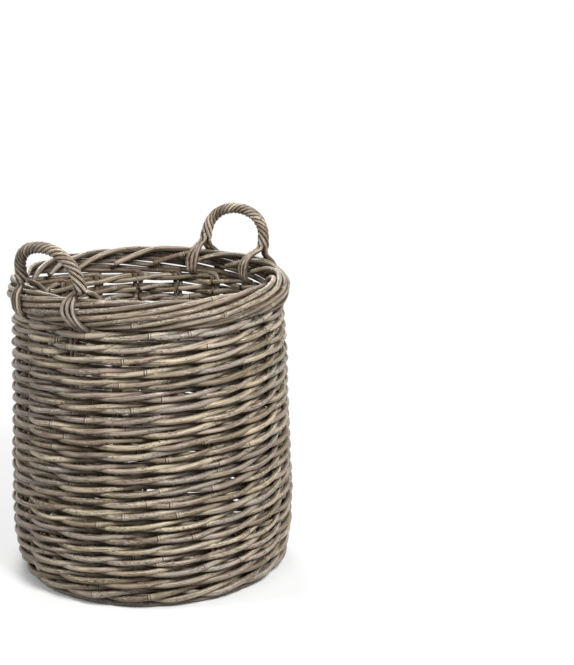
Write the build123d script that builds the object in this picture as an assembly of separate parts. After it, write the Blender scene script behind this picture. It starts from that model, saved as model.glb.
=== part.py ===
from build123d import *
import os
from math import atan2, cos, pi, radians, sin, sqrt

# Driving dimensions, in millimetres and degrees.
# The basket stands on z = 0 with its axis on Z and its two handles at +X and -X.
pair_count = 18               # pairs of stakes round the wall
pair_step = 360 / pair_count
first_pair = pair_step / 2    # so that each handle stands between two pairs
pair_spread = 4.0             # from the middle of a pair to each of its stakes

base_level = 14.0             # middle of the woven base above the floor
corner_radius = 24.0          # bend of the stakes from the base up into the wall
corner_inside = 20.0          # the same bend on the inner side, where the rods lie closest
corner_at = 184.0             # radius where that bend begins
corner_turns = (40, 90)       # degrees into the bend where a stake has its corners
belly = (208.8, 120.0)        # radius and height of the stakes where the wall is widest
wall_top = (196.5, 432.0)     # radius and height of the stakes under the border
tail_from = 156.0             # radius that the stakes are pushed in to beside the base sticks

round_count = 23              # rounds of three-rod wale that make the wall
round_pitch = 18.2            # height of one round, two rods one over the other outside
top_round = 11.2              # from the middle of the last round's lower rods to the wall's top
wale_outside = 14.8           # rod centre at its crest between two pairs, from the stakes' line
wale_inside = -9.4            # rod centre behind a pair
crest = 0.35                  # part of a step on either side of the crest's middle
behind = 0.15                 # part of a step on either side of a pair where a rod lies straight
butt = 0.02                   # part of a step from the middle of a pair to each end of a rod

border_radius = 203.5         # middle of the rolled border
border_level = 457.5
border_half_width = 12.5      # rod centres, from the middle of the border
border_half_height = 18.5
border_reach = 7              # pairs that a stake's end passes as it rolls round the border
border_turn = 274             # of a full turn, from below the border round to its inside
border_start = 0.2            # part of a step after its stake where it joins the roll
border_even = 0.15            # evens out the rods round the roll, which is higher than wide
bend_rise = 7.0               # the left stake of a pair bends this far above the wall's top
cut_rise = 2.0                # the right one is cut off here

hoop_inner = 188.0
hoop_outer = 202.0
hoop_height = 9.5
hoop_chamfer = 2.5

under_count = 4               # base sticks along X
over_count = 5                # base sticks along Y, laid over them
stick_end = 181.0             # radius of the ends of the base sticks
stick_half = 3.6
tail_room = 7.2               # from the middle of a stick to the stakes pushed in beside it
tail_bend = 6.0               # a stake leaves its stick this far before its bend
cross_gap = 8.2               # between neighbouring sticks in the middle of the base
cross_half = 27.0             # half the square where the two sets of sticks cross
fan_radius = 50.0             # from here outwards each stick points straight away from the axis
cross_rise = 4.2              # one set lies this far over the middle there, the other under it
ring_first = 66.0             # radius of the first woven ring of the base
ring_pitch = 21.0
ring_count = 6
ring_rise = 7.4               # rod centre over or under a base stick
ring_flat = 4.5               # half the length that a rod lies flat over a stick
ring_flat_tails = 12.5        # the same where stakes lie beside the stick
ring_gap = 1.0                # between the two ends of a rod

handle_half_span = 63.3       # from the middle of the handle to the middle of each leg
handle_square = 0.65          # below 1 the legs stand straighter than in a half circle
handle_radius = 9.1           # of the twisted rope
handle_lean = 14.0            # the top stands this far outside the feet
handle_foot = (203.0, 488.0)  # distance from the axis along X, and height, of the rope's ends
handle_top = 550.7            # height of the rope's centre line at its middle
rope_sides = 8
rope_spans = 10
lashing_strands = 2           # in a lashing at each foot
strand_half = 2.9
strand_gap = 7.8              # between neighbouring strands of a lashing
strand_clear = 0.6            # between a strand and the border
inner_clear = 3.0             # more inside, where the border's straight runs cut inside its circle
strand_splay = 1.2            # degrees that a strand leans away from the handle at each bend
lashing_top = 483.6           # height where a lashing starts under the rope's foot
lashing_start = 4.2           # and how far outside or inside of the foot's middle
outer_tuck = (5.5, 433.0)     # end under the border: from the border's middle, and height
inner_tuck = (-12.0, 438.0)   # end inside

# Sections of the rods: how far each corner lies outwards and to the side of the centre line.
wale_section = [(4.4, 0), (-3.4, 4.1), (-3.4, -4.1)]
stake_section = [(3.2, 0), (-2.5, 2.8), (-2.5, -2.8)]
stick_section = [(stick_half, stick_half), (-stick_half, stick_half),
                 (-stick_half, -stick_half), (stick_half, -stick_half)]
ring_section = [(-3.3, 0), (3.0, 3.6), (3.0, -3.6)]
strand_section = [(strand_half, 0), (-strand_half, strand_half), (-strand_half, -strand_half)]

os.makedirs("parts", exist_ok=True)


def place(radius, degrees, height):
    """A point at a radius and angle round the basket's axis."""
    return Vector(radius * cos(radians(degrees)), radius * sin(radians(degrees)), height)


def rod(points, section, facings):
    """A faceted rod along a line of points, its section turned at each point to the way it faces."""
    path = [Vector(point) for point in points]
    runs = [(end - start).normalized() for start, end in zip(path, path[1:])]
    rings = []
    for point, facing, before, after in zip(path, facings, runs[:1] + runs, runs + runs[-1:]):
        side = (before + after).cross(facing).normalized()
        face = side.cross(before + after).normalized()
        rings.append([point + face * out + side * across for out, across in section])
    facets = [rings[0], rings[-1]]
    for near, far in zip(rings, rings[1:]):
        for i in range(len(section)):
            facets += [(near[i - 1], near[i], far[i]), (near[i - 1], far[i], far[i - 1])]
    return Solid(Shell([Face(Wire.make_polygon(corners)) for corners in facets]))


def save(name, solids):
    """Write one node: a single piece, or a group of like pieces that stay separate solids."""
    shape = solids[0] if len(solids) == 1 else Compound(children=solids)
    export_step(shape, f"parts/{name}.step")


# Wall line: the centre of the stakes, from the base round the corner and up to the border

corner_length = corner_inside * pi / 2
corner_top = (corner_at + corner_radius, base_level + corner_radius)
wall_runs = [(corner_top, belly), (belly, wall_top)]


def corner_line(turn):
    """Radius and height of the stakes in their bend, and the way out of the basket there."""
    out = (sin(turn), -cos(turn))
    return corner_at + corner_radius * out[0], corner_top[1] + corner_radius * out[1], out


def wall_at(length):
    """Radius and height of the stakes at a length up the wall, and the way out of the wall there."""
    if length < corner_length:
        return corner_line(length / corner_inside)
    left = length - corner_length
    for (radius, height), (next_radius, next_height) in wall_runs:
        run = sqrt((next_radius - radius) ** 2 + (next_height - height) ** 2)
        along = ((next_radius - radius) / run, (next_height - height) / run)
        if left <= run:
            break
        left -= run
    return radius + along[0] * left, height + along[1] * left, (along[1], -along[0])


wall_length = corner_length + sum(
    sqrt((b[0] - a[0]) ** 2 + (b[1] - a[1]) ** 2) for a, b in wall_runs)
first_round = wall_length - top_round - (round_count - 1) * round_pitch


# Wall: rounds of three-rod wale, each rod going before two pairs of stakes and behind one

half_pitch = round_pitch / 2
wale_steps = [(behind, wale_inside, 0), (1.5 - crest, wale_outside, 0),
              (1.5 + crest, wale_outside, half_pitch), (3 - behind, wale_inside, half_pitch)]


def wale_rod(number, strand):
    """One rod of a round: it climbs half a round before two pairs and drops back behind the third.
    Its two ends lie one over the other behind the pair where it starts."""
    start = first_round + number * round_pitch
    first = strand + 3 * (2 * number % 6)
    steps = [(3 * turn + s, out, up) for turn in range(pair_count // 3) for s, out, up in wale_steps]
    steps[0] = (butt, wale_inside, 0)
    steps[-1] = (pair_count - butt, wale_inside, half_pitch)
    points = []
    facings = []
    for step, out, up in steps:
        radius, height, way = wall_at(start + up)
        angle = first_pair + (first + step) * pair_step
        points.append(place(radius + out * way[0], angle, height + out * way[1]))
        facings.append(place(way[0], angle, way[1]))
    return rod(points, wale_section, facings)


for number in range(round_count):
    save(f"wale_round_{number + 1:02d}", [wale_rod(number, strand) for strand in range(3)])


# Stakes: pairs that run out beside a base stick and up the wall; the left one goes on into the border

def border_line(passed):
    """Radius and height on the roll, by the pairs passed: from below, round outside, to inside."""
    angle = radians(border_turn * passed / border_reach - 90)
    even = angle - border_even * sin(2 * angle)
    return border_radius + border_half_width * cos(even), border_level + border_half_height * sin(even)


def stake(pair, side):
    """One stake of a pair, -1 for the left one seen from outside, which bends over its mate."""
    middle = first_pair + pair * pair_step

    def beside(radius, height, spread=pair_spread):
        return place(radius, middle + side * spread / radius * 180 / pi, height)

    points = [beside(tail_from, base_level, tail_room),
              beside(corner_at - tail_bend, base_level, tail_room)]
    facings = [Vector(0, 0, -1)] * 2
    for turn in corner_turns:
        radius, height, way = corner_line(radians(turn))
        points.append(beside(radius, height))
        facings.append(place(way[0], middle, way[1]))
    points.append(beside(*belly))
    points.append(beside(wall_top[0], wall_top[1] + (bend_rise if side < 0 else cut_rise)))
    facings += [place(1, middle, 0)] * 2
    for passed in range(border_reach + 1) if side < 0 else []:
        radius, height = border_line(passed)
        angle = middle + (border_start + passed) * pair_step
        points.append(place(radius, angle, height))
        facings.append(place(radius - border_radius, angle, height - border_level))
    return rod(points, stake_section, facings)


for pair in range(pair_count):
    save(f"stake_pair_{pair + 1:02d}", [stake(pair, -1), stake(pair, 1)])


# Base: four sticks along X under five along Y, opened out so that one ends at each pair of stakes

def base_stick(degrees, offset, along, level):
    """One stick through the cross: straight in the middle, fanned to opposite pairs outside it."""
    across = Vector(-along.Y, along.X, 0)
    middle = across * offset + Vector(0, 0, base_level + level)
    half = [middle + along * cross_half, place(fan_radius, degrees, base_level),
            place(stick_end, degrees, base_level)]
    other_half = [point - along * (2 * point.dot(along)) for point in reversed(half)]
    line = other_half + half
    return rod(line, stick_section, [Vector(0, 0, 1)] * len(line))


def stick_set(count, degrees, level):
    """Sticks side by side that all cross the middle of the base in one direction."""
    places = [i - (count - 1) / 2 for i in range(count)]
    return [base_stick(degrees + pair_step * i, cross_gap * i, place(1, degrees, 0), level) for i in places]


save("base_sticks_under", stick_set(under_count, 0, -cross_rise))
save("base_sticks_over", stick_set(over_count, 90, cross_rise))


# Base weave: rings of rod that pass over one stick and under the next, each ring the other way

def base_ring(number):
    """One ring; outside the middle it lies flat over a stick and the two stakes beside it."""
    radius = ring_first + ring_pitch * number
    flat = (ring_flat_tails if radius > tail_from else ring_flat) / radius * 180 / pi
    points = []
    for pair in range(pair_count):
        rise = ring_rise * (1 if (pair + number) % 2 else -1)
        for side in (-flat, flat):
            points.append(place(radius, first_pair + pair * pair_step + side, base_level + rise))
    end = points[0] + (points[-1] - points[0]).normalized() * ring_gap
    return rod(points + [end], ring_section, [Vector(0, 0, 1)] * (len(points) + 1))


save("base_weave", [base_ring(number) for number in range(ring_count)])


# Foot hoop: the flat ring at the base edge that the basket stands on

hoop = extrude(RegularPolygon(hoop_outer, 2 * pair_count) - RegularPolygon(hoop_inner, 2 * pair_count),
               hoop_height)
hoop_corners = hoop.faces().sort_by(Axis.Z)[0].outer_wire().edges()
save("foot_hoop", [chamfer(hoop_corners, hoop_chamfer).solid()])


# Handles: a twisted rope bow over the border, and lashings that tie its feet round the border

def handle_line(angle):
    """Centre line of the rope at the +X side, by an angle from 0 at one foot to 180 at the other."""
    lift = sin(radians(angle)) ** handle_square if 0 < angle < 180 else 0
    return Vector(handle_foot[0] + handle_lean * lift, -handle_half_span * cos(radians(angle)),
                  handle_foot[1] + (handle_top - handle_foot[1]) * lift)


def lashing_strand(foot, index, inside):
    """One strand from under the rope's foot, over the border and down one side of it."""
    aside = (index - (lashing_strands - 1) / 2) * strand_gap
    turn = foot * foot_angle + aside / border_radius * 180 / pi
    way = -1 if inside else 1
    clear = border_half_width + stake_section[0][0] + strand_half + strand_clear + inside * inner_clear
    under, drop = inner_tuck if inside else outer_tuck
    steps = [(foot_radius + way * lashing_start, lashing_top),
             (border_radius + way * (clear - strand_half), border_level + border_half_height + strand_half),
             (border_radius + way * clear, border_level + border_half_height / 2),
             (border_radius + way * clear, border_level - border_half_height + strand_half),
             (border_radius + under, drop)]
    points = [place(radius, turn + foot * strand_splay * i, height)
              for i, (radius, height) in enumerate(steps)]
    facings = [place(radius - border_radius, turn, height - border_level) for radius, height in steps]
    return rod(points, strand_section, facings)


def turned(solids, half_turn):
    """The pieces at their own side of the basket."""
    return [solid.rotate(Axis.Z, 180) for solid in solids] if half_turn else solids


foot_radius = sqrt(handle_foot[0] ** 2 + handle_half_span ** 2)
foot_angle = atan2(handle_half_span, handle_foot[0]) * 180 / pi
rope_angles = [90 - 90 * cos(pi * i / rope_spans) for i in range(rope_spans + 1)]
rope_section = [(handle_radius * cos(2 * pi * i / rope_sides), handle_radius * sin(2 * pi * i / rope_sides))
                for i in range(rope_sides)]
for side_name, half_turn in (("right", False), ("left", True)):
    rope = rod([handle_line(angle) for angle in rope_angles], rope_section,
               [Vector(1, 0, 0)] * len(rope_angles))
    save(f"handle_{side_name}_rope", turned([rope], half_turn))
    for lashing, inside in (("outer", False), ("inner", True)):
        strands = [lashing_strand(foot, index, inside) for foot in (-1, 1)
                   for index in range(lashing_strands)]
        save(f"handle_{side_name}_{lashing}_lashing", turned(strands, half_turn))
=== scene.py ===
import bpy
import numpy as np
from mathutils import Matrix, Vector


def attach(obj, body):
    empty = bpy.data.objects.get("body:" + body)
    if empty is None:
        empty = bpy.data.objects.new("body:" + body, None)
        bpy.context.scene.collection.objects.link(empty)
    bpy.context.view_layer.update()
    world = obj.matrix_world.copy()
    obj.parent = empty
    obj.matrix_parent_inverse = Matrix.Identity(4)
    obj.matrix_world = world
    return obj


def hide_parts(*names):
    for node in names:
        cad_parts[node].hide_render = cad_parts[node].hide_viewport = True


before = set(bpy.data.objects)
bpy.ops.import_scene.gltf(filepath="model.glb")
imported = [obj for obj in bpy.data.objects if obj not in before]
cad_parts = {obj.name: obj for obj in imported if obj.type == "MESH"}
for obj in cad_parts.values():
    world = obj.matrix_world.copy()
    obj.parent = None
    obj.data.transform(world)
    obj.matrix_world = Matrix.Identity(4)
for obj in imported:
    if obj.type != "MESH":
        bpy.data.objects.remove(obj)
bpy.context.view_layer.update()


# Base sticks
# Nine stiff sticks of rattan carry the base: four lie under five where they cross in the middle.
# Outside the cross they are opened out like a fan, so that one ends at each pair of stakes.

mm = 0.001
luck = np.random.default_rng(19)

pair_count = 18
pair_step = 2 * np.pi / pair_count
first_pair = pair_step / 2
base_level = 14 * mm
stick_thick = 7.6 * mm
stick_end = 181 * mm
cross_gap = 8.2 * mm
cross_half = 27 * mm
cross_rise = 4.2 * mm
fan_radius = 50 * mm
stick_range = (0.94, 1.04)                        # thinnest and thickest, of the usual stick
# Under the base's rods, so that their painted shade falls on their sides and undersides, not on top.
below = np.array([0, 0, -1])

ring_room = 6 * mm                                # between the rings of points along a rod
rod_sides = 12
slow_swell = (0.025, 17 * mm)                     # share that a rod swells by, and over what length
quick_swell = (0.02, 7 * mm)
oval_share = 0.035
inside_shade = 0.7                                # how deep in shade a rod's inner side lies

joint_room = (170 * mm, 420 * mm)                 # from one joint of the cane to the next
joint_rings = np.array([-6, -3, -1.2, 0, 1.2, 2.6, 4.5, 7]) * mm
joint_clear = 1 * mm                              # from a joint's last ring to the next plain one
joint_swell = 0.06
joint_reach = 3.6 * mm
joint_slant = 0.5                                 # in mm, as the skin is told how far a joint is
joint_unseen = 40                                 # also in mm, where no joint is near
no_joint = 9.0                                    # further along than any rod is long

cut_bevel = 0.5 * mm
cut_share = 0.84                                  # width of the flat on a cut end, of the rod's
end_clear = 1.5 * mm
grain_apart = (40, 3)                             # how far the grain differs, along and across a rod
cap_room = 11 * mm                                # room for a cut end on the strip of unrolled skin
cap_share = 0.9
cap_radius = 0.4
skin_width = 28 * mm
skin_margin = 0.04                                # at each edge of a strip


def place(radius, angle, height):
    """Points at a radius and an angle round the basket's axis."""
    spots = np.broadcast_arrays(radius * np.cos(angle), radius * np.sin(angle), height)
    return np.stack(spots, axis=-1)


def unit(vectors):
    """The same directions, of length one."""
    return vectors / np.linalg.norm(vectors, axis=-1, keepdims=True)


def lengths_along(line):
    """How far along a line each of its points lies."""
    return np.concatenate([[0], np.cumsum(np.linalg.norm(np.diff(line, axis=0), axis=1))])


def smooth_line(points, per_span=10):
    """A dense line that bends smoothly through every point."""
    points = np.asarray(points, float)
    span = np.linalg.norm(np.diff(points, axis=0), axis=1)[:, None]
    slope = np.diff(points, axis=0) / span
    bend = np.empty_like(points)
    bend[1:-1] = (slope[:-1] * span[1:] + slope[1:] * span[:-1]) / (span[:-1] + span[1:])
    bend[0] = 1.5 * slope[0] - 0.5 * bend[1]
    bend[-1] = 1.5 * slope[-1] - 0.5 * bend[-2]
    t = np.linspace(0, 1, per_span, endpoint=False)[None, :, None]
    start, end = points[:-1, None], points[1:, None]
    leave, arrive = (bend[:-1] * span)[:, None], (bend[1:] * span)[:, None]
    curve = (start * (2 * t**3 - 3 * t**2 + 1) + leave * (t**3 - 2 * t**2 + t)
             + end * (3 * t**2 - 2 * t**3) + arrive * (t**3 - t**2))
    return np.concatenate([curve.reshape(-1, 3), points[-1:]])


class Rods:
    """Rods of cane gathered into one mesh, with what the skin needs to know at each of its points."""

    def __init__(self):
        self.points = []
        self.faces = []
        self.marks = {"grain": [], "tone": [], "joint": [], "cut": [], "painted_shade": []}
        self.skin = []
        self.count = 0
        self.run = 0.0

    def add(self, line, thick, tone=None, sides=rod_sides, joints=True, core=None, sunk=0.0):
        """One rod round a dense line; thick is its diameter, or one for each point of the line.
        The rods it lies among are wound round the core: the basket's axis, or a line of as many points.
        Sunk is 1 where it lies deep among them seen from outside, and -1 seen from the core. Shade is
        painted on the sides that face the rods around it, on its inner side, and where it lies sunk."""
        gone = lengths_along(line)
        length = gone[-1]
        tone = luck.random(3) if tone is None else tone
        knots = [luck.uniform(0.1, 1) * joint_room[1] if joints else no_joint]
        while knots[-1] < length:
            knots.append(knots[-1] + luck.uniform(*joint_room))
        knots = np.array(knots)
        even = np.linspace(0, length, max(3, int(length / ring_room)))
        clear = np.abs(even[:, None] - knots).min(axis=1) > joint_rings[-1] + joint_clear
        clear[[0, -1]] = True
        near = (knots[:, None] + joint_rings).ravel()
        near = near[(near > end_clear) & (near < length - end_clear)]
        along = np.sort(np.concatenate([even[clear], near]))
        middle = np.stack([np.interp(along, gone, line[:, i]) for i in range(3)], axis=1)
        core = line * [0, 0, 1] if core is None else core
        away = middle - np.stack([np.interp(along, gone, core[:, i]) for i in range(3)], axis=1)
        thick = np.interp(along, gone, np.broadcast_to(thick, len(line)))

        ahead = unit(np.gradient(middle, along, axis=0))
        side = np.empty_like(middle)
        last = np.array([0.31, 0.17, 0.93])        # any way that no rod starts in
        for i, way in enumerate(ahead):
            last = unit(last - way * (last @ way))
            side[i] = last
        over = np.cross(ahead, side)
        away = unit(away - ahead * (away * ahead).sum(axis=1, keepdims=True))

        since = along[:, None] - knots
        joint = since[np.arange(len(along)), np.abs(since).argmin(axis=1)]
        phase = luck.uniform(0, 2 * np.pi, 4)
        uneven = 1
        for (share, wave), start in zip((slow_swell, quick_swell), phase):
            uneven = uneven + share * np.sin(along / wave + start)
        radius = thick / 2 * uneven * (1 + joint_swell * np.exp(-(joint / joint_reach) ** 2))
        turn = np.linspace(0, 2 * np.pi, sides, endpoint=False)
        oval = 1 + oval_share * np.cos(2 * turn + phase[2])
        circle = np.stack([np.cos(turn), np.sin(turn)], axis=-1)
        round_about = circle[None, :, :1] * side[:, None] + circle[None, :, 1:] * over[:, None]
        shell = middle[:, None] + round_about * (radius[:, None] * oval)[:, :, None]
        facing = (round_about * away[:, None]).sum(axis=2)
        sunk = np.interp(along, gone, np.broadcast_to(sunk, len(line)))
        # Painted shade: on the sides facing the rods around, on the inner side, and where the rod lies
        # sunk.
        shaded = np.maximum(sunk[:, None] * facing, -inside_shade * facing)
        painted_shade = np.maximum(1 - np.abs(facing), shaded)
        painted_shade = np.concatenate([painted_shade[:1], painted_shade, painted_shade[-1:]])
        tips = middle[[0, -1]] + ahead[[0, -1]] * np.array([[-cut_bevel], [cut_bevel]])
        rims = tips[:, None] + (shell[[0, -1]] - middle[[0, -1], None]) * cut_share
        shell = np.concatenate([rims[:1], shell, rims[1:]])
        rows = len(shell)
        placed = np.concatenate([along[:1] - cut_bevel, along, along[-1:] + cut_bevel])

        grain = np.empty((rows, sides, 3))
        grain[:, :, 0] = placed[:, None] + tone.sum() * grain_apart[0]
        grain[:, :, 1:] = circle * np.mean(thick) / 2 + tone[:2] * grain_apart[1]
        slant = joint_slant * np.cos(turn + phase[3])
        ring = np.concatenate([joint[:1], joint, joint[-1:]])[:, None] / mm + slant
        cut = np.zeros((rows, sides))
        cut[[0, -1]] = 1
        marks = {"grain": (grain.reshape(-1, 3), grain[[0, -1], :].mean(axis=1)),
                 "tone": (np.tile(tone, (rows * sides, 1)), np.tile(tone, (2, 1))),
                 "joint": (np.clip(ring, -joint_unseen, joint_unseen).ravel(), np.full(2, joint_unseen)),
                 "cut": (cut.ravel(), np.ones(2)),
                 "painted_shade": (painted_shade.ravel(), np.zeros(2))}
        for name, values in marks.items():
            self.marks[name] += values

        i, j = np.meshgrid(np.arange(rows - 1), np.arange(sides), indexing="ij")
        i, j = i.ravel(), j.ravel()
        following = (j + 1) % sides
        quads = np.stack([i * sides + j, i * sides + following,
                          (i + 1) * sides + following, (i + 1) * sides + j], axis=1)
        at = self.run + cap_room + placed
        across = np.stack([j, j + 1, j + 1, j], axis=1) / sides
        self.skin.append(np.stack([np.stack([at[i], at[i], at[i + 1], at[i + 1]], axis=1), across,
                                   np.repeat(at[i][:, None], 4, axis=1)], axis=-1).reshape(-1, 3))
        self.faces += (quads + self.count).tolist()
        rim = np.arange(sides)
        lasting = np.roll(rim, -1)
        for end, (first, second) in enumerate([(lasting, rim), (rim, lasting)]):
            base = end * (rows - 1) * sides
            centre = np.full(sides, rows * sides + end)
            fan = np.stack([centre, base + first, base + second], axis=1)
            self.faces += (fan + self.count).tolist()
            corner = self.run if end == 0 else self.run + cap_room + length + 2 * cut_bevel
            disc = np.zeros((sides, 3, 3))
            disc[:, 0, :2] = 0.5
            for k, each in ((1, first), (2, second)):
                disc[:, k, :2] = 0.5 + cap_radius * circle[each]
            disc[:, :, 0] = corner + disc[:, :, 0] * cap_room * cap_share
            disc[:, :, 1] *= cap_room / skin_width
            disc[:, :, 2] = corner
            self.skin.append(disc.reshape(-1, 3))
        self.points += [shell.reshape(-1, 3), tips]
        self.count += rows * sides + 2
        self.run += length + 2 * (cap_room + cut_bevel)

    def piece(self, name, finish):
        """The rods as one object, with their skin unrolled in rows on a square."""
        mesh = bpy.data.meshes.new(name)
        mesh.from_pydata(np.concatenate(self.points).tolist(), [], self.faces)
        mesh.polygons.foreach_set("use_smooth", [True] * len(mesh.polygons))
        for mark, values in self.marks.items():
            values = np.concatenate(values)
            kind, field = ("FLOAT_VECTOR", "vector") if values.ndim == 2 else ("FLOAT", "value")
            layer = mesh.attributes.new(mark, kind, "POINT")
            layer.data.foreach_set(field, values.ravel().astype(np.float32))
        at, across, begin = np.concatenate(self.skin).T
        row_count = max(1, int(np.ceil(np.sqrt(self.run / skin_width))))
        row_length = self.run / row_count
        row = np.minimum((begin / row_length).astype(int), row_count - 1)
        u = (at - row * row_length) / (row_length + 2 * cap_room)
        v = (row + skin_margin + (1 - 2 * skin_margin) * across) / row_count
        unrolled = mesh.uv_layers.new(name="OFBake")
        unrolled.data.foreach_set("uv", np.stack([u, v], axis=1).ravel().astype(np.float32))
        mesh.materials.append(finish)
        made = bpy.data.objects.new(name, mesh)
        bpy.context.scene.collection.objects.link(made)
        return made


class Wire:
    """A socket in a material's nodes; sums and products of wires add the nodes that work them out."""

    def __init__(self, tree, socket=None):
        self.tree = tree
        self.socket = socket

    def make(self, kind, settings, values, output=0):
        """Adds one node: its settings first, then a number, colour or wire for each socket named."""
        node = self.tree.nodes.new(kind)
        for name, setting in settings.items():
            setattr(node, name, setting)
        for name, value in values.items():
            if isinstance(value, Wire):
                self.tree.links.new(value.socket, node.inputs[name])
            else:
                node.inputs[name].default_value = value
        return Wire(self.tree, node.outputs[output] if node.outputs else None)

    def math(self, operation, *values):
        return self.make("ShaderNodeMath", {"operation": operation}, dict(enumerate(values)))

    def __add__(self, other):
        return self.math("ADD", self, other)

    def __sub__(self, other):
        return self.math("SUBTRACT", self, other)

    def __rsub__(self, other):
        return self.math("SUBTRACT", other, self)

    def __mul__(self, other):
        return self.math("MULTIPLY", self, other)

    __radd__ = __add__
    __rmul__ = __mul__

    def step(self, low, high):
        """From 0 at low to 1 at high, with soft ends."""
        return self.make("ShaderNodeMapRange", {"interpolation_type": "SMOOTHSTEP"},
                         {0: self, 1: low, 2: high, 3: 0.0, 4: 1.0})

    def paint(self, colour, amount):
        """This colour covered by another, by an amount from 0 to 1."""
        return self.make("ShaderNodeMix", {"data_type": "RGBA"}, {0: amount, 6: self, 7: colour}, 2)

    def stretch(self, *scale):
        """This vector stretched along its three ways."""
        return self.make("ShaderNodeVectorMath", {"operation": "MULTIPLY"}, {0: self, 1: scale})

    def noise(self, detail=2.0):
        """Cloudy values from 0 to 1 over this vector, one cloud to each unit."""
        return self.make("ShaderNodeTexNoise", {}, {"Vector": self, "Scale": 1.0, "Detail": detail})


def colour(red, green, blue):
    """A colour as a screen shows it, from 0 to 255, made ready for a material."""
    shown = np.array([red, green, blue]) / 255
    light = np.where(shown > 0.04045, ((shown + 0.055) / 1.055) ** 2.4, shown / 12.92)
    return (*light.tolist(), 1.0)


def cane(name, dull, pale, grey, warm, shade_from=0.36):
    """Unpeeled rattan: streaked along its grain, mottled and flecked, with a ring at each joint.
    Shade is painted into its colour in the crevices between rods, from a depth of shade_from on."""
    weathered_brown = colour(82, 66, 48)
    streak_brown = colour(84, 68, 50)
    bloom_white = colour(214, 206, 190)
    fleck_brown = colour(42, 31, 21)
    fibre_brown = colour(96, 82, 66)
    painted_shade_brown = colour(44, 29, 14)
    band_pale = colour(214, 202, 180)
    rub_pale = colour(204, 192, 170)
    smear_brown = colour(88, 74, 58)
    line_brown = colour(38, 29, 20)
    edge_brown = colour(52, 40, 28)
    cut_tan = colour(126, 106, 80)
    pore_brown = colour(66, 54, 42)
    band_width = 3.4                              # of a joint's ring, in mm as the joint mark is
    painted_shade_room = 0.61
    bump_height = 0.5 * mm

    material = bpy.data.materials.new(name)
    material.use_nodes = True
    bench = Wire(material.node_tree)
    bench.tree.nodes.clear()
    grain = bench.make("ShaderNodeAttribute", {"attribute_name": "grain"}, {}, "Vector")
    tone = bench.make("ShaderNodeAttribute", {"attribute_name": "tone"}, {}, "Vector")
    joint = bench.make("ShaderNodeAttribute", {"attribute_name": "joint"}, {}, "Fac")
    cut = bench.make("ShaderNodeAttribute", {"attribute_name": "cut"}, {}, "Fac")
    painted_shade = bench.make("ShaderNodeAttribute", {"attribute_name": "painted_shade"}, {}, "Fac")
    lightness = bench.make("ShaderNodeSeparateXYZ", {}, {0: tone}, "X")
    weathering = bench.make("ShaderNodeSeparateXYZ", {}, {0: tone}, "Y")
    warmth = bench.make("ShaderNodeSeparateXYZ", {}, {0: tone}, "Z")

    streaks = grain.stretch(24, 520, 520).noise(3.0)
    fibres = grain.stretch(90, 2600, 2600).noise(2.0)
    clouds = grain.stretch(15, 70, 70).noise(3.0)
    patches = grain.stretch(42, 260, 260).noise(2.0)
    flecks = grain.stretch(210, 760, 760).noise(1.0).step(0.57, 0.64)
    flecks = flecks * grain.stretch(26, 80, 80).noise(1.0).step(0.46, 0.56)
    bloom = grain.stretch(160, 600, 600).noise(1.0).step(0.58, 0.66)
    bloom = bloom * grain.stretch(17, 50, 50).noise(1.0).step(0.52, 0.62)

    skin = bench.make("ShaderNodeRGB", {}, {})
    skin.socket.default_value = dull
    skin = skin.paint(pale, (lightness * 0.75 + streaks * 0.8 - 0.4).step(0.1, 0.95))
    skin = skin.paint(grey, weathering.step(0.35, 1.0) * clouds.step(0.3, 0.62) * 0.85)
    skin = skin.paint(warm, warmth.step(0.45, 1.0) * (1 - clouds.step(0.35, 0.7)) * 0.75)
    skin = skin.paint(weathered_brown, patches.step(0.53, 0.72) * 0.5)
    skin = skin.paint(streak_brown, (1 - streaks.step(0.32, 0.5)) * 0.75)
    skin = skin.paint(bloom_white, bloom * 0.6)
    skin = skin.paint(fleck_brown, flecks * 0.85)
    skin = skin.paint(fibre_brown, fibres.step(0.55, 0.8) * 0.3)
    # Painted shade: darkens the crevices, the inner sides and the sunk parts of the rods.
    skin = skin.paint(painted_shade_brown, painted_shade.step(shade_from, shade_from + painted_shade_room) * 0.8)

    line = 1 - joint.math("ABSOLUTE", joint).step(0.45, 1.3)
    scar = joint - band_width
    edge = 1 - scar.math("ABSOLUTE", scar).step(0.4, 1.15)
    band = joint.step(0.5, 1.2) * (1 - joint.step(2.3, 3.0))
    rub = joint.step(3.6, 4.6) * (1 - joint.step(6.0, 13.0))
    smear = (1 - joint.step(-1.5, -0.3)) * joint.step(-12.0, -1.0)
    skin = skin.paint(band_pale, band * 0.45)
    skin = skin.paint(rub_pale, rub * 0.3)
    skin = skin.paint(smear_brown, smear * 0.12)
    skin = skin.paint(line_brown, line * (0.6 + clouds.step(0.35, 0.55) * 0.35))
    skin = skin.paint(edge_brown, edge * clouds.step(0.48, 0.6) * 0.85)
    pores = grain.stretch(300, 1500, 1500).noise(1.0).step(0.4, 0.6)
    skin = skin.paint(cut_tan, cut)
    skin = skin.paint(pore_brown, cut * pores * 0.8)

    relief = streaks * 0.5 + fibres * 0.3 - line * 1.2 - flecks * 0.4
    bump = bench.make("ShaderNodeBump", {}, {"Strength": 0.35, "Distance": bump_height, "Height": relief})
    roughness = 0.3 + patches * 0.2 + painted_shade.step(0.3, 0.9) * 0.3 + cut * 0.3
    shader = bench.make("ShaderNodeBsdfPrincipled", {}, {"Base Color": skin, "Roughness": roughness,
                                                          "Normal": bump, "Specular IOR Level": 0.3})
    bench.make("ShaderNodeOutputMaterial", {}, {"Surface": shader})
    return material


stick_skin = cane("base_cane", colour(128, 114, 97), colour(184, 169, 146), colour(140, 132, 122),
                  colour(160, 140, 123))


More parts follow.
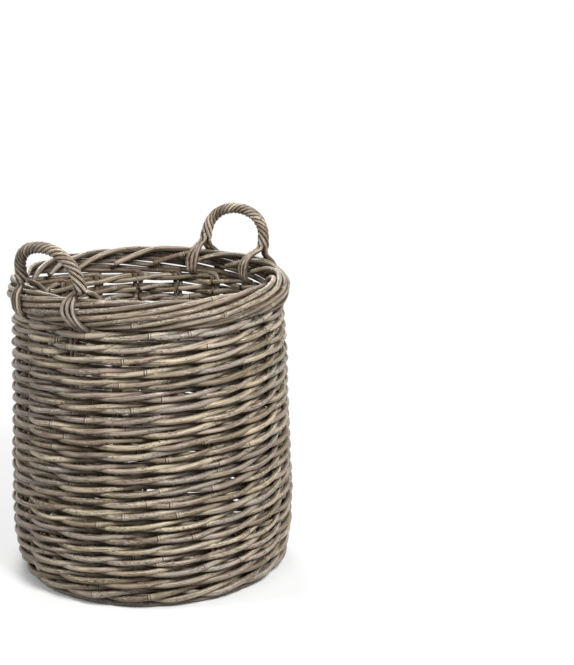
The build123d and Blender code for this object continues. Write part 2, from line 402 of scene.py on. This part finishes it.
def base_stick(angle, offset, along, level):
    """The line of one stick through the cross, straight in the middle and fanned outside it."""
    across = np.array([-along[1], along[0], 0])
    middle = across * offset + np.array([0, 0, base_level + level])
    half = [middle + along * cross_half, place(fan_radius, angle, base_level),
            place(stick_end, angle, base_level)]
    other_half = [point - along * (2 * point @ along) for point in reversed(half)]
    return smooth_line(other_half + half)


for name, node, count, turn, level in (("sticks_below", "base_sticks_under", 4, 0, -cross_rise),
                                       ("sticks_above", "base_sticks_over", 5, np.pi / 2, cross_rise)):
    sticks = Rods()
    along = np.array([np.cos(turn), np.sin(turn), 0]).round(6)
    for place_in_set in np.arange(count) - (count - 1) / 2:
        line = base_stick(turn + pair_step * place_in_set, cross_gap * place_in_set, along, level)
        sticks.add(line, stick_thick * luck.uniform(*stick_range), core=line + below)
    laid = sticks.piece(name, stick_skin)
    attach(laid, "root")
    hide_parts(node)


# Base weave
# Thin rods woven round the sticks, over one and under the next, from the cross out to the edge.
# Three short turns tie the cross itself, and each rod starts and ends under a stick.

weave_thick = 6.6 * mm
weave_first = 58 * mm
weave_pitch = 8.7 * mm
weave_count = 15
weave_rise = 6.9 * mm
tail_from = 156 * mm
flat_room = 4.5 * mm                              # half the straight run of a rod past a stick
flat_room_at_tails = 12.5 * mm                    # the same where stakes lie beside the stick
weave_wander = (0.5 * mm, 0.35 * mm)              # in and out, up and down
weave_range = (0.92, 1.08)
tie_count = 3
tie_first = 32 * mm
tie_pitch = 6.2 * mm
tie_share = 0.86                                  # thickness of a tie, of the other rods'
tie_press = 2 * mm
tie_half_widths = (13 * mm, 17 * mm)              # past the lower sticks and past the upper ones

weave = Rods()
for number in range(tie_count):
    half = tie_first + tie_pitch * number
    over_first = 1 if number % 2 == 0 else -1
    points = []
    for quarter in range(5):
        turn = quarter * np.pi / 2
        lower = quarter % 2 == 0
        level = base_level + (-cross_rise if lower else cross_rise)
        level += (over_first if lower else -over_first) * ((stick_thick + weave_thick) / 2 - tie_press)
        wide = tie_half_widths[0 if lower else 1]
        for across in ((-wide, wide) if quarter < 4 else (-wide,)):
            points.append([half * np.cos(turn) - across * np.sin(turn),
                           half * np.sin(turn) + across * np.cos(turn), level])
    line = smooth_line(points)
    weave.add(line, weave_thick * tie_share, core=line + below)

for number in range(weave_count):
    radius = weave_first + weave_pitch * number
    flat = (flat_room_at_tails if radius > tail_from else flat_room) / radius
    begin = luck.integers(pair_count)
    points = []
    for pair in range(begin, begin + pair_count + 1):
        rise = weave_rise * (1 if (pair + number) % 2 else -1) + luck.normal(0, weave_wander[1])
        for side in ((-flat, flat) if pair < begin + pair_count else (-flat,)):
            points.append(place(radius + luck.normal(0, weave_wander[0]),
                                first_pair + pair * pair_step + side, base_level + rise))
    line = smooth_line(points)
    weave.add(line, weave_thick * luck.uniform(*weave_range), core=line + below)

woven = weave.piece("base_weaving", stick_skin)
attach(woven, "root")
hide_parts("base_weave")


# Foot ring
# Two thick rods side by side under the edge of the base, which the basket stands on.
# Each is one turn, with its ends cut square and butted.

foot_thick = 9.3 * mm
foot_radii = (191.2 * mm, 200.6 * mm)
foot_gap = 0.008                                  # between a rod's two ends, as an angle
foot_points = 37
foot_clear = 0.5 * mm
foot_wander = (0.4 * mm, 0.3 * mm)

foot = Rods()
for radius in foot_radii:
    begin = luck.uniform(0, 2 * np.pi)
    angles = begin + np.linspace(foot_gap / 2, 2 * np.pi - foot_gap / 2, foot_points)
    lift = foot_thick / 2 + foot_clear + np.abs(luck.normal(0, foot_wander[1], foot_points))
    reach = radius + luck.normal(0, foot_wander[0], foot_points)
    foot.add(smooth_line(place(reach, angles, lift)), foot_thick)
ring = foot.piece("foot_ring", stick_skin)
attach(ring, "root")
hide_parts("foot_hoop")


# Stakes and rolled border
# Eighteen pairs of rods, pushed into the base beside the sticks and bent up to carry the wall.
# At its top one of each pair is cut off. The other bends over to the right, and there these rods
# roll over each other into the border and are cut off inside.

pair_spread = 4.1 * mm
corner_radius = 24 * mm
corner_inside = 20 * mm
corner_at = 184 * mm
belly = np.array([208.8, 120]) * mm
wall_top = np.array([196.5, 432]) * mm
tail_end = corner_at - 6 * mm
corner_turns = (40, 90)                           # degrees of the bend at which a stake has a point
wall_shares = (0, 0.35, 0.7, 0.93)                # the same for its way up the wall
stake_thick = 7.2 * mm
stake_range = (0.93, 1.05)
stake_wander = 0.35 * mm
border_thick = 9.1 * mm
border_radius = 203.5 * mm
border_level = 456.7 * mm
border_half_width = 12.5 * mm
border_half_height = 18.5 * mm
border_start = 0.3                                # in pairs passed, as are the next two
border_reach = 6.3
border_dive = 4.5                                 # where the rods turn down inside
border_turn = 37                                  # degrees round the roll for each pair
border_plunge = 7
border_squeeze = 0.15
border_points = 13
border_own = 0.9 * mm                             # how far one rod lies off its place in the roll
border_wander = 0.6 * mm
border_from = 400 * mm
border_blend = 40 * mm
top_rise = 3 * mm                                 # of a stake above the wall, to its bend or its cut

corner_top = np.array([corner_at + corner_radius, base_level + corner_radius])


def corner_line(turn):
    """Radius and height of the stakes in their bend, and the way out of the basket there."""
    out = np.array([np.sin(turn), -np.cos(turn)])
    return np.array([corner_at, corner_top[1]]) + corner_radius * out, out


def border_line(passed):
    """Radius and height on the roll, by the pairs passed: from below, round outside, to inside."""
    angle = np.radians(-90 + border_turn * passed + border_plunge * max(0, passed - border_dive) ** 3)
    flat = angle - border_squeeze * np.sin(2 * angle)
    return np.array([border_radius + border_half_width * np.cos(flat),
                     border_level + border_half_height * np.sin(flat)])


stake_skin = cane("stake_cane", colour(120, 105, 87), colour(190, 174, 150), colour(144, 136, 127),
                  colour(160, 142, 128), 0.26)

for pair in range(pair_count):
    stakes = Rods()
    middle = first_pair + pair * pair_step
    for side in (-1, 1):
        room = (stick_thick + stake_thick) / 2
        points = [place(tail_from, middle + side * room / tail_from, base_level),
                  place(tail_end, middle + side * room / corner_at, base_level)]
        for turn in corner_turns:
            (radius, height), _ = corner_line(np.radians(turn))
            points.append(place(radius, middle + side * pair_spread / radius, height))
        for share in wall_shares:
            radius, height = belly + (wall_top - belly) * share
            spread = side * pair_spread + luck.normal(0, stake_wander)
            points.append(place(radius, middle + spread / radius, height))
        points.append(place(wall_top[0], middle + side * pair_spread / wall_top[0],
                            wall_top[1] + top_rise))
        own = luck.normal(0, border_own, 2)
        for passed in np.linspace(0, border_reach, border_points) if side < 0 else []:
            radius, height = border_line(passed) + own * min(1, passed) + luck.normal(0, border_wander, 2)
            points.append(place(radius, middle + (border_start + passed) * pair_step, height))
        line = smooth_line(points)
        # Near the top, painted shade on these rods is reckoned from the middle of the roll, not from the
        # axis.
        high = np.clip((line[:, 2] - border_from) / border_blend, 0, 1)
        core = unit(line * [1, 1, 0]) * (border_radius * high)[:, None]
        core[:, 2] = line[:, 2] + (border_level - line[:, 2]) * high
        thick = stake_thick + (border_thick - stake_thick) * high
        stakes.add(line, thick * luck.uniform(*stake_range), core=core)
    stood = stakes.piece(f"stakes_{pair + 1:02d}", stake_skin)
    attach(stood, "root")
    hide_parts(f"stake_pair_{pair + 1:02d}")


# Wall
# Twenty-three rounds of three-rod wale: each rod goes before two pairs of stakes and behind the third,
# climbing half a round on the way. Rods are joined end to end behind a pair, where it doesn't show.
# Where the last rounds begin, one rod of each goes behind two pairs, and the first of these shows.

round_count = 23
round_pitch = 18.26 * mm
top_round = 9.0 * mm
wall_thick = (7.7 * mm, 9.5 * mm)
wall_taper = 0.03
wall_sway = 1.5 * mm                              # how far a rod rises and falls on its way round
wall_wander = (0.7 * mm, 0.5 * mm)                # in and out, up and down
low_rounds = 2                                    # these, at the bend, lie closer and are thicker
low_out = 0.8
low_thick = 1.1

# A rod's way over three pairs, at each half pair step: out from the stakes, and up in its round.
wale_out = np.array([-8.2, 3.0, 13.2, 13.8, 7.9, -1.5]) * mm
wale_up = np.array([4.5, 0.3, 1.4, 4.4, 7.8, 8.7]) * mm
way_steps = len(wale_out)

# The same for the rod that goes behind the step's pair too, just before it, at it and after it.
# The rod that is behind that pair anyway makes room below.
step_pair = 9
step_rounds = 3
step_way = {-1: (11.5 * mm, 4.4 * mm), 0: (-8.4 * mm, 9.2 * mm), 1: (-7.0 * mm, 9.0 * mm)}
step_phase = 4
step_under = 0.2 * mm

sunk_from = 4 * mm                                # a rod nearer to the stakes lies in the others' shade
sunk_room = 8 * mm
sunk_most = 0.8
join_gap = 0.02                                   # half the room between two joined ends, in pair steps

wall_points = np.array([corner_top, belly, wall_top])
wall_runs = np.linalg.norm(np.diff(wall_points, axis=0), axis=1)
corner_length = corner_inside * np.pi / 2
wall_length = corner_length + wall_runs.sum()
first_round = wall_length - top_round - (round_count - 1) * round_pitch


def wall_at(length):
    """Radius and height of the stakes at a length up the wall, and the way out of the wall there."""
    if length < corner_length:
        return corner_line(length / corner_inside)
    past = length - corner_length
    run = 0 if past <= wall_runs[0] else 1
    along = (wall_points[run + 1] - wall_points[run]) / wall_runs[run]
    return wall_points[run] + along * (past - run * wall_runs[0]), np.array([along[1], -along[0]])


wall_skin = cane("wall_cane", colour(134, 120, 99), colour(200, 185, 158), colour(150, 143, 136),
                 colour(166, 147, 136))

for number in range(round_count):
    rods = Rods()
    for strand in range(3):
        first = strand + 3 * (2 * number % 6)
        points = []
        outs = []
        sway = luck.uniform(0, 2 * np.pi)
        for half_step in range(2 * pair_count + 1):
            phase = half_step % way_steps
            past_step = (2 * first + half_step) % (2 * pair_count) - 2 * step_pair
            out, up = wale_out[phase] * (low_out if number < low_rounds else 1), wale_up[phase]
            if number >= round_count - step_rounds and past_step in step_way:
                if phase == step_phase + past_step:
                    out, up = step_way[past_step]
                elif phase == 0:
                    up = step_under
            out += luck.normal(0, wall_wander[0])
            up += luck.normal(0, wall_wander[1])
            up += wall_sway * np.sin(2 * np.pi * half_step / pair_count + sway)
            spot, way_out = wall_at(first_round + number * round_pitch + up)
            spot = spot + way_out * out
            points.append(place(spot[0], first_pair + (first + half_step / 2) * pair_step, spot[1]))
            outs.append(out)
        line = smooth_line(points)
        steps = np.linspace(0, pair_count, len(line))
        outs = np.interp(2 * steps, np.arange(len(outs)), outs)
        sunk = np.clip((sunk_from - outs) / sunk_room, -1, sunk_most)
        joins = [0, 3 * luck.integers(1, 3), 3 * luck.integers(3, 5), pair_count]
        for begin, end in zip(joins, joins[1:]):
            part = (steps > begin + join_gap) & (steps < end - join_gap)
            thick = luck.uniform(*wall_thick) * (low_thick if number < low_rounds else 1)
            thick = np.linspace(thick * (1 + wall_taper), thick * (1 - wall_taper), part.sum())
            rods.add(line[part], thick, sunk=sunk[part])
    wound = rods.piece(f"wall_round_{number + 1:02d}", wall_skin)
    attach(wound, "root")
    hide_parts(f"wale_round_{number + 1:02d}")


# Handles
# Two stiff bows of thick cane over the border, each with six thin strands laid round it like a rope.
# At each foot the strands part: some go down outside the border, the rest over it and down inside.

handle_half_span = 63.3 * mm
handle_square = 0.65
handle_lean = 14 * mm
handle_foot = (203 * mm, 488 * mm)
handle_top = 550.7 * mm
strand_count = 6
strand_thick = 5.7 * mm
tail_thick = 6.6 * mm
strand_ring = 6.4 * mm
lay_length = 54 * mm
strand_sides = 10
strand_range = (0.95, 1.05)
strand_points = 6                                 # of a strand's line, from one station to the next
loose_length = 36 * mm                            # the last of each leg, where the strands open
loose_lay = 0.4                                   # how much of the lay is left at a foot
loose_ring = 0.12                                 # how much wider the ring of strands is there
thicken_from = 24                                 # points up the bow, where the strands thicken
thicken_over = 30
bow_thick = 8 * mm
bow_steps = 1201
station_count = 61
stations_bare = 2                                 # at each end, where the strands have left the bow
outer_strands = 3
tail_clear = 0.4 * mm

strand_skin = cane("handle_cane", colour(142, 126, 106), colour(222, 206, 181), colour(158, 149, 139),
                   colour(162, 144, 127), 0.1)

sweep = np.linspace(0, np.pi, bow_steps)
lift = np.sin(sweep) ** handle_square
lift[[0, -1]] = 0
bow = np.stack([handle_foot[0] + handle_lean * lift, -handle_half_span * np.cos(sweep),
                handle_foot[1] + (handle_top - handle_foot[1]) * lift], axis=1)
bow_gone = lengths_along(bow)
bow_length = bow_gone[-1]
stations = np.linspace(0, bow_length, station_count)
bow_points = np.stack([np.interp(stations, bow_gone, bow[:, i]) for i in range(3)], axis=1)
bow_ahead = unit(np.gradient(bow_points, axis=0))
bow_out = np.tile([1.0, 0.0, 0.0], (len(stations), 1))
bow_out = unit(bow_out - bow_ahead * (bow_out * bow_ahead).sum(axis=1, keepdims=True))
bow_in = np.cross(bow_ahead, bow_out)


def lashing(foot, index, inside, drift):
    """The way of one strand from a foot of the bow over the border and down one side of it.
    Drift is how far the group goes aside on that way, in mm: at its start, middle and end."""
    count = strand_count - outer_strands if inside else outer_strands
    place_in_group = index - (count - 1) / 2
    way = -1 if inside else 1
    clear = border_half_width + (border_thick + tail_thick) / 2 + tail_clear
    tucked = (-9 * mm, 437 * mm) if inside else (6 * mm, 433 * mm)
    # Each point: how far out from the border's middle, how high, how far along the drift from 0 to 2,
    # and how far apart the strands are, in strands.
    way_down = ((way * 10.5 * mm, 484 * mm, 0.0, 0.7),
                (way * (clear - 2 * mm), 472 * mm, 0.5, 1.15),
                (way * clear, 459 * mm, 1.0, 1.3),
                (way * (clear - 0.6 * mm), 445 * mm, 1.7, 1.0),
                (*tucked, 2.0, 0.8))
    bend = np.polyfit([0, 1, 2], drift, 2)
    start = foot * np.arctan2(handle_half_span, handle_foot[0])
    points = []
    for out, height, moved, spread in way_down:
        aside = np.polyval(bend, moved) * mm + place_in_group * spread * tail_thick
        points.append(place(border_radius + out, start + aside / border_radius, height))
    return points


def border_core(points):
    """The middle of the border beside each point."""
    points = np.asarray(points)
    return unit(points * [1, 1, 0]) * border_radius + [0, 0, border_level]


# For each foot of a bow, the drift of the strands outside the border and of those inside it.
right_drifts = {-1: ((-6, -16, -28), (3, 14, 9)), 1: ((-4, -14, -22), (5, 13, 12))}
left_drifts = {-1: ((-3, -5, 4), (4, 16, 30)), 1: ((-13, -16, 3), (6, 18, 32))}

for side_name, half_turn, drifts in (("right", 0, right_drifts), ("left", np.pi, left_drifts)):
    rope = Rods()
    ties = {"outer": Rods(), "inner": Rods()}
    turned = np.array([[np.cos(half_turn), np.sin(half_turn), 0],
                       [-np.sin(half_turn), np.cos(half_turn), 0],
                       [0, 0, 1]]).round(6)
    # The bow lies deep inside the strands, so shade is painted all over its outer side.
    rope.add(bow_points @ turned, bow_thick, np.zeros(3), joints=False, sunk=1.0)
    phases = 2 * np.pi * np.arange(strand_count) / strand_count
    to_foot = np.clip(np.minimum(stations, bow_length - stations) / loose_length, 0, 1)
    lay = -2 * np.pi / lay_length * np.cumsum(stations[1] * (loose_lay + (1 - loose_lay) * to_foot))
    ring = (strand_ring * (1 + loose_ring - loose_ring * to_foot))[:, None]
    routes = [bow_points + ring * (np.cos(lay + phase)[:, None] * bow_out
                                   + np.sin(lay + phase)[:, None] * bow_in) for phase in phases]
    tails = {}
    for foot, at in ((-1, 0), (1, -1)):
        order = np.argsort([-np.cos(lay[at] + phase) for phase in phases])
        for rank, strand in enumerate(order):
            inside = rank >= outer_strands
            group = [s for s in order if (list(order).index(s) >= outer_strands) == inside]
            group.sort(key=lambda s: routes[s][at][1])
            drift = drifts[foot][1 if inside else 0]
            tails[strand, foot] = (inside, lashing(foot, group.index(strand), inside, drift))
    on_bow = slice(stations_bare, -stations_bare)
    for strand, route in enumerate(routes):
        head_inside, head = tails[strand, -1]
        foot_inside, tail = tails[strand, 1]
        line = smooth_line(np.concatenate([head[::-1], route[on_bow], tail]), strand_points)
        tone = luck.random(3)
        first_cut = strand_points * len(head)
        last_cut = len(line) - 1 - strand_points * len(tail)
        number = np.arange(len(line))
        loose = (np.clip((first_cut + thicken_from - number) / thicken_over, 0, 1)
                 + np.clip((number - last_cut + thicken_from) / thicken_over, 0, 1))
        thick = (strand_thick + (tail_thick - strand_thick) * loose) * luck.uniform(*strand_range)
        # Painted shade on each strand is reckoned from the bow, and from the border's middle at the feet.
        core = np.concatenate([border_core(head[::-1]), bow_points[on_bow], border_core(tail)])
        spot = number / strand_points
        core = np.stack([np.interp(spot, np.arange(len(core)), core[:, i]) for i in range(3)], axis=1)
        for bundle, part in ((rope, slice(first_cut, last_cut + 1)),
                             (ties["inner" if head_inside else "outer"], slice(0, first_cut + 1)),
                             (ties["inner" if foot_inside else "outer"], slice(last_cut, None))):
            bundle.add(line[part] @ turned, thick[part], tone, strand_sides, core=core[part] @ turned)
    twisted = rope.piece(f"{side_name}_bow", strand_skin)
    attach(twisted, "root")
    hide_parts(f"handle_{side_name}_rope")
    for which, tie in ties.items():
        tied = tie.piece(f"{side_name}_{which}_ties", strand_skin)
        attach(tied, "root")
        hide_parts(f"handle_{side_name}_{which}_lashing")


# Floor, light and camera
# A pale studio floor that fades into white, one soft lamp above to the right of the camera, weaker
# ones at the left and behind, and a white surround. The camera stands as the photographer's did.

floor_radius = 1.5
floor_corners = 96
floor_fade = (0.5, 1.3)                           # from the middle, where the floor turns to white
floor_glow = 0.62                                 # share of the floor that looks white even in shade
glow_from = (0.195, 0.25)                         # from the middle, where that begins
paper_grey = colour(150, 150, 150)                # as it lights the basket
paper_white = colour(240, 240, 240)               # as the camera sees it
white = (1, 1, 1, 1)
surround = 0.18                                   # the white room's light on the basket


def in_view(bench):
    """1 for what the camera sees, straight on, mirrored or through glass, and 0 for other light."""
    straight, mirrored, through = [bench.make("ShaderNodeLightPath", {}, {}, ray) for ray in
                                   ("Is Camera Ray", "Is Glossy Ray", "Is Transmission Ray")]
    return bench.math("MAXIMUM", straight, bench.math("MAXIMUM", mirrored, through))


floor_mesh = bpy.data.meshes.new("studio_floor")
floor_turn = np.linspace(0, 2 * np.pi, floor_corners, endpoint=False)
floor_mesh.from_pydata(place(floor_radius, floor_turn, 0.0).tolist(), [], [list(range(floor_corners))])
floor = bpy.data.objects.new("studio_floor", floor_mesh)
bpy.context.scene.collection.objects.link(floor)
floor_paint = bpy.data.materials.new("studio_white")
floor_paint.use_nodes = True
paper = Wire(floor_paint.node_tree)
paper.tree.nodes.clear()
spot = paper.make("ShaderNodeTexCoord", {}, {}, "Object")
distance = paper.make("ShaderNodeVectorMath", {"operation": "LENGTH"}, {0: spot}, "Value")
seen = in_view(paper)
shade = paper.make("ShaderNodeMix", {"data_type": "RGBA"}, {0: seen, 6: paper_grey, 7: paper_white}, 2)
matt = paper.make("ShaderNodeBsdfDiffuse", {}, {"Color": shade})
clear = paper.make("ShaderNodeBsdfTransparent", {}, {})
glow = paper.make("ShaderNodeEmission", {}, {"Color": white})
glowing = seen * distance.step(*glow_from) * floor_glow
lit = paper.make("ShaderNodeMixShader", {}, {0: glowing, 1: matt, 2: glow})
fade = paper.make("ShaderNodeMixShader", {}, {0: distance.step(*floor_fade), 1: lit, 2: clear})
paper.make("ShaderNodeOutputMaterial", {}, {"Surface": fade})
floor_mesh.materials.append(floor_paint)

world = bpy.data.worlds.new("white_room")
bpy.context.scene.world = world
world.use_nodes = True
room = Wire(world.node_tree)
room.tree.nodes.clear()
strength = in_view(room) * (1 - surround) + surround
backdrop = room.make("ShaderNodeBackground", {}, {"Color": white, "Strength": strength})
room.make("ShaderNodeOutputWorld", {}, {"Surface": backdrop})

camera_turn = np.radians(-45.5)
lamp_aim = Vector((0, 0, 0.25))


def seen_from(x, y, z):
    """A point given from the photographer's side, turned to where the basket's frame has it."""
    return Vector((x * np.cos(camera_turn) - y * np.sin(camera_turn),
                   x * np.sin(camera_turn) + y * np.cos(camera_turn), z))


for name, spot, size, power in (("main_lamp", (1.0, -1.8, 2.1), 0.75, 93),
                                ("fill_lamp", (-2.3, -0.7, 1.7), 0.5, 24),
                                ("back_lamp", (-0.3, 2.2, 1.9), 1.2, 50)):
    lamp = bpy.data.lights.new(name, "AREA")
    lamp.size = size
    lamp.energy = power
    hung = bpy.data.objects.new(name, lamp)
    bpy.context.scene.collection.objects.link(hung)
    hung.location = seen_from(*spot)
    hung.rotation_euler = (lamp_aim - hung.location).to_track_quat("-Z", "Y").to_euler()

picture_height = 665
focal_pixels = 1500
sensor = 36
camera_back = 2.3218
camera_high = 0.9785
yaw = np.radians(5.39)
dip = np.radians(14.52)
camera = bpy.data.cameras.new("photographer")
camera.sensor_width = sensor
camera.lens = focal_pixels / picture_height * sensor
camera_stand = bpy.data.objects.new("photographer", camera)
bpy.context.scene.collection.objects.link(camera_stand)
camera_stand.location = seen_from(0, -camera_back, camera_high)
look = seen_from(np.sin(yaw) * np.cos(dip), np.cos(yaw) * np.cos(dip), -np.sin(dip))
camera_stand.rotation_euler = look.to_track_quat("-Z", "Y").to_euler()
bpy.context.scene.camera = camera_stand
bpy.context.scene.view_settings.view_transform = "Standard"
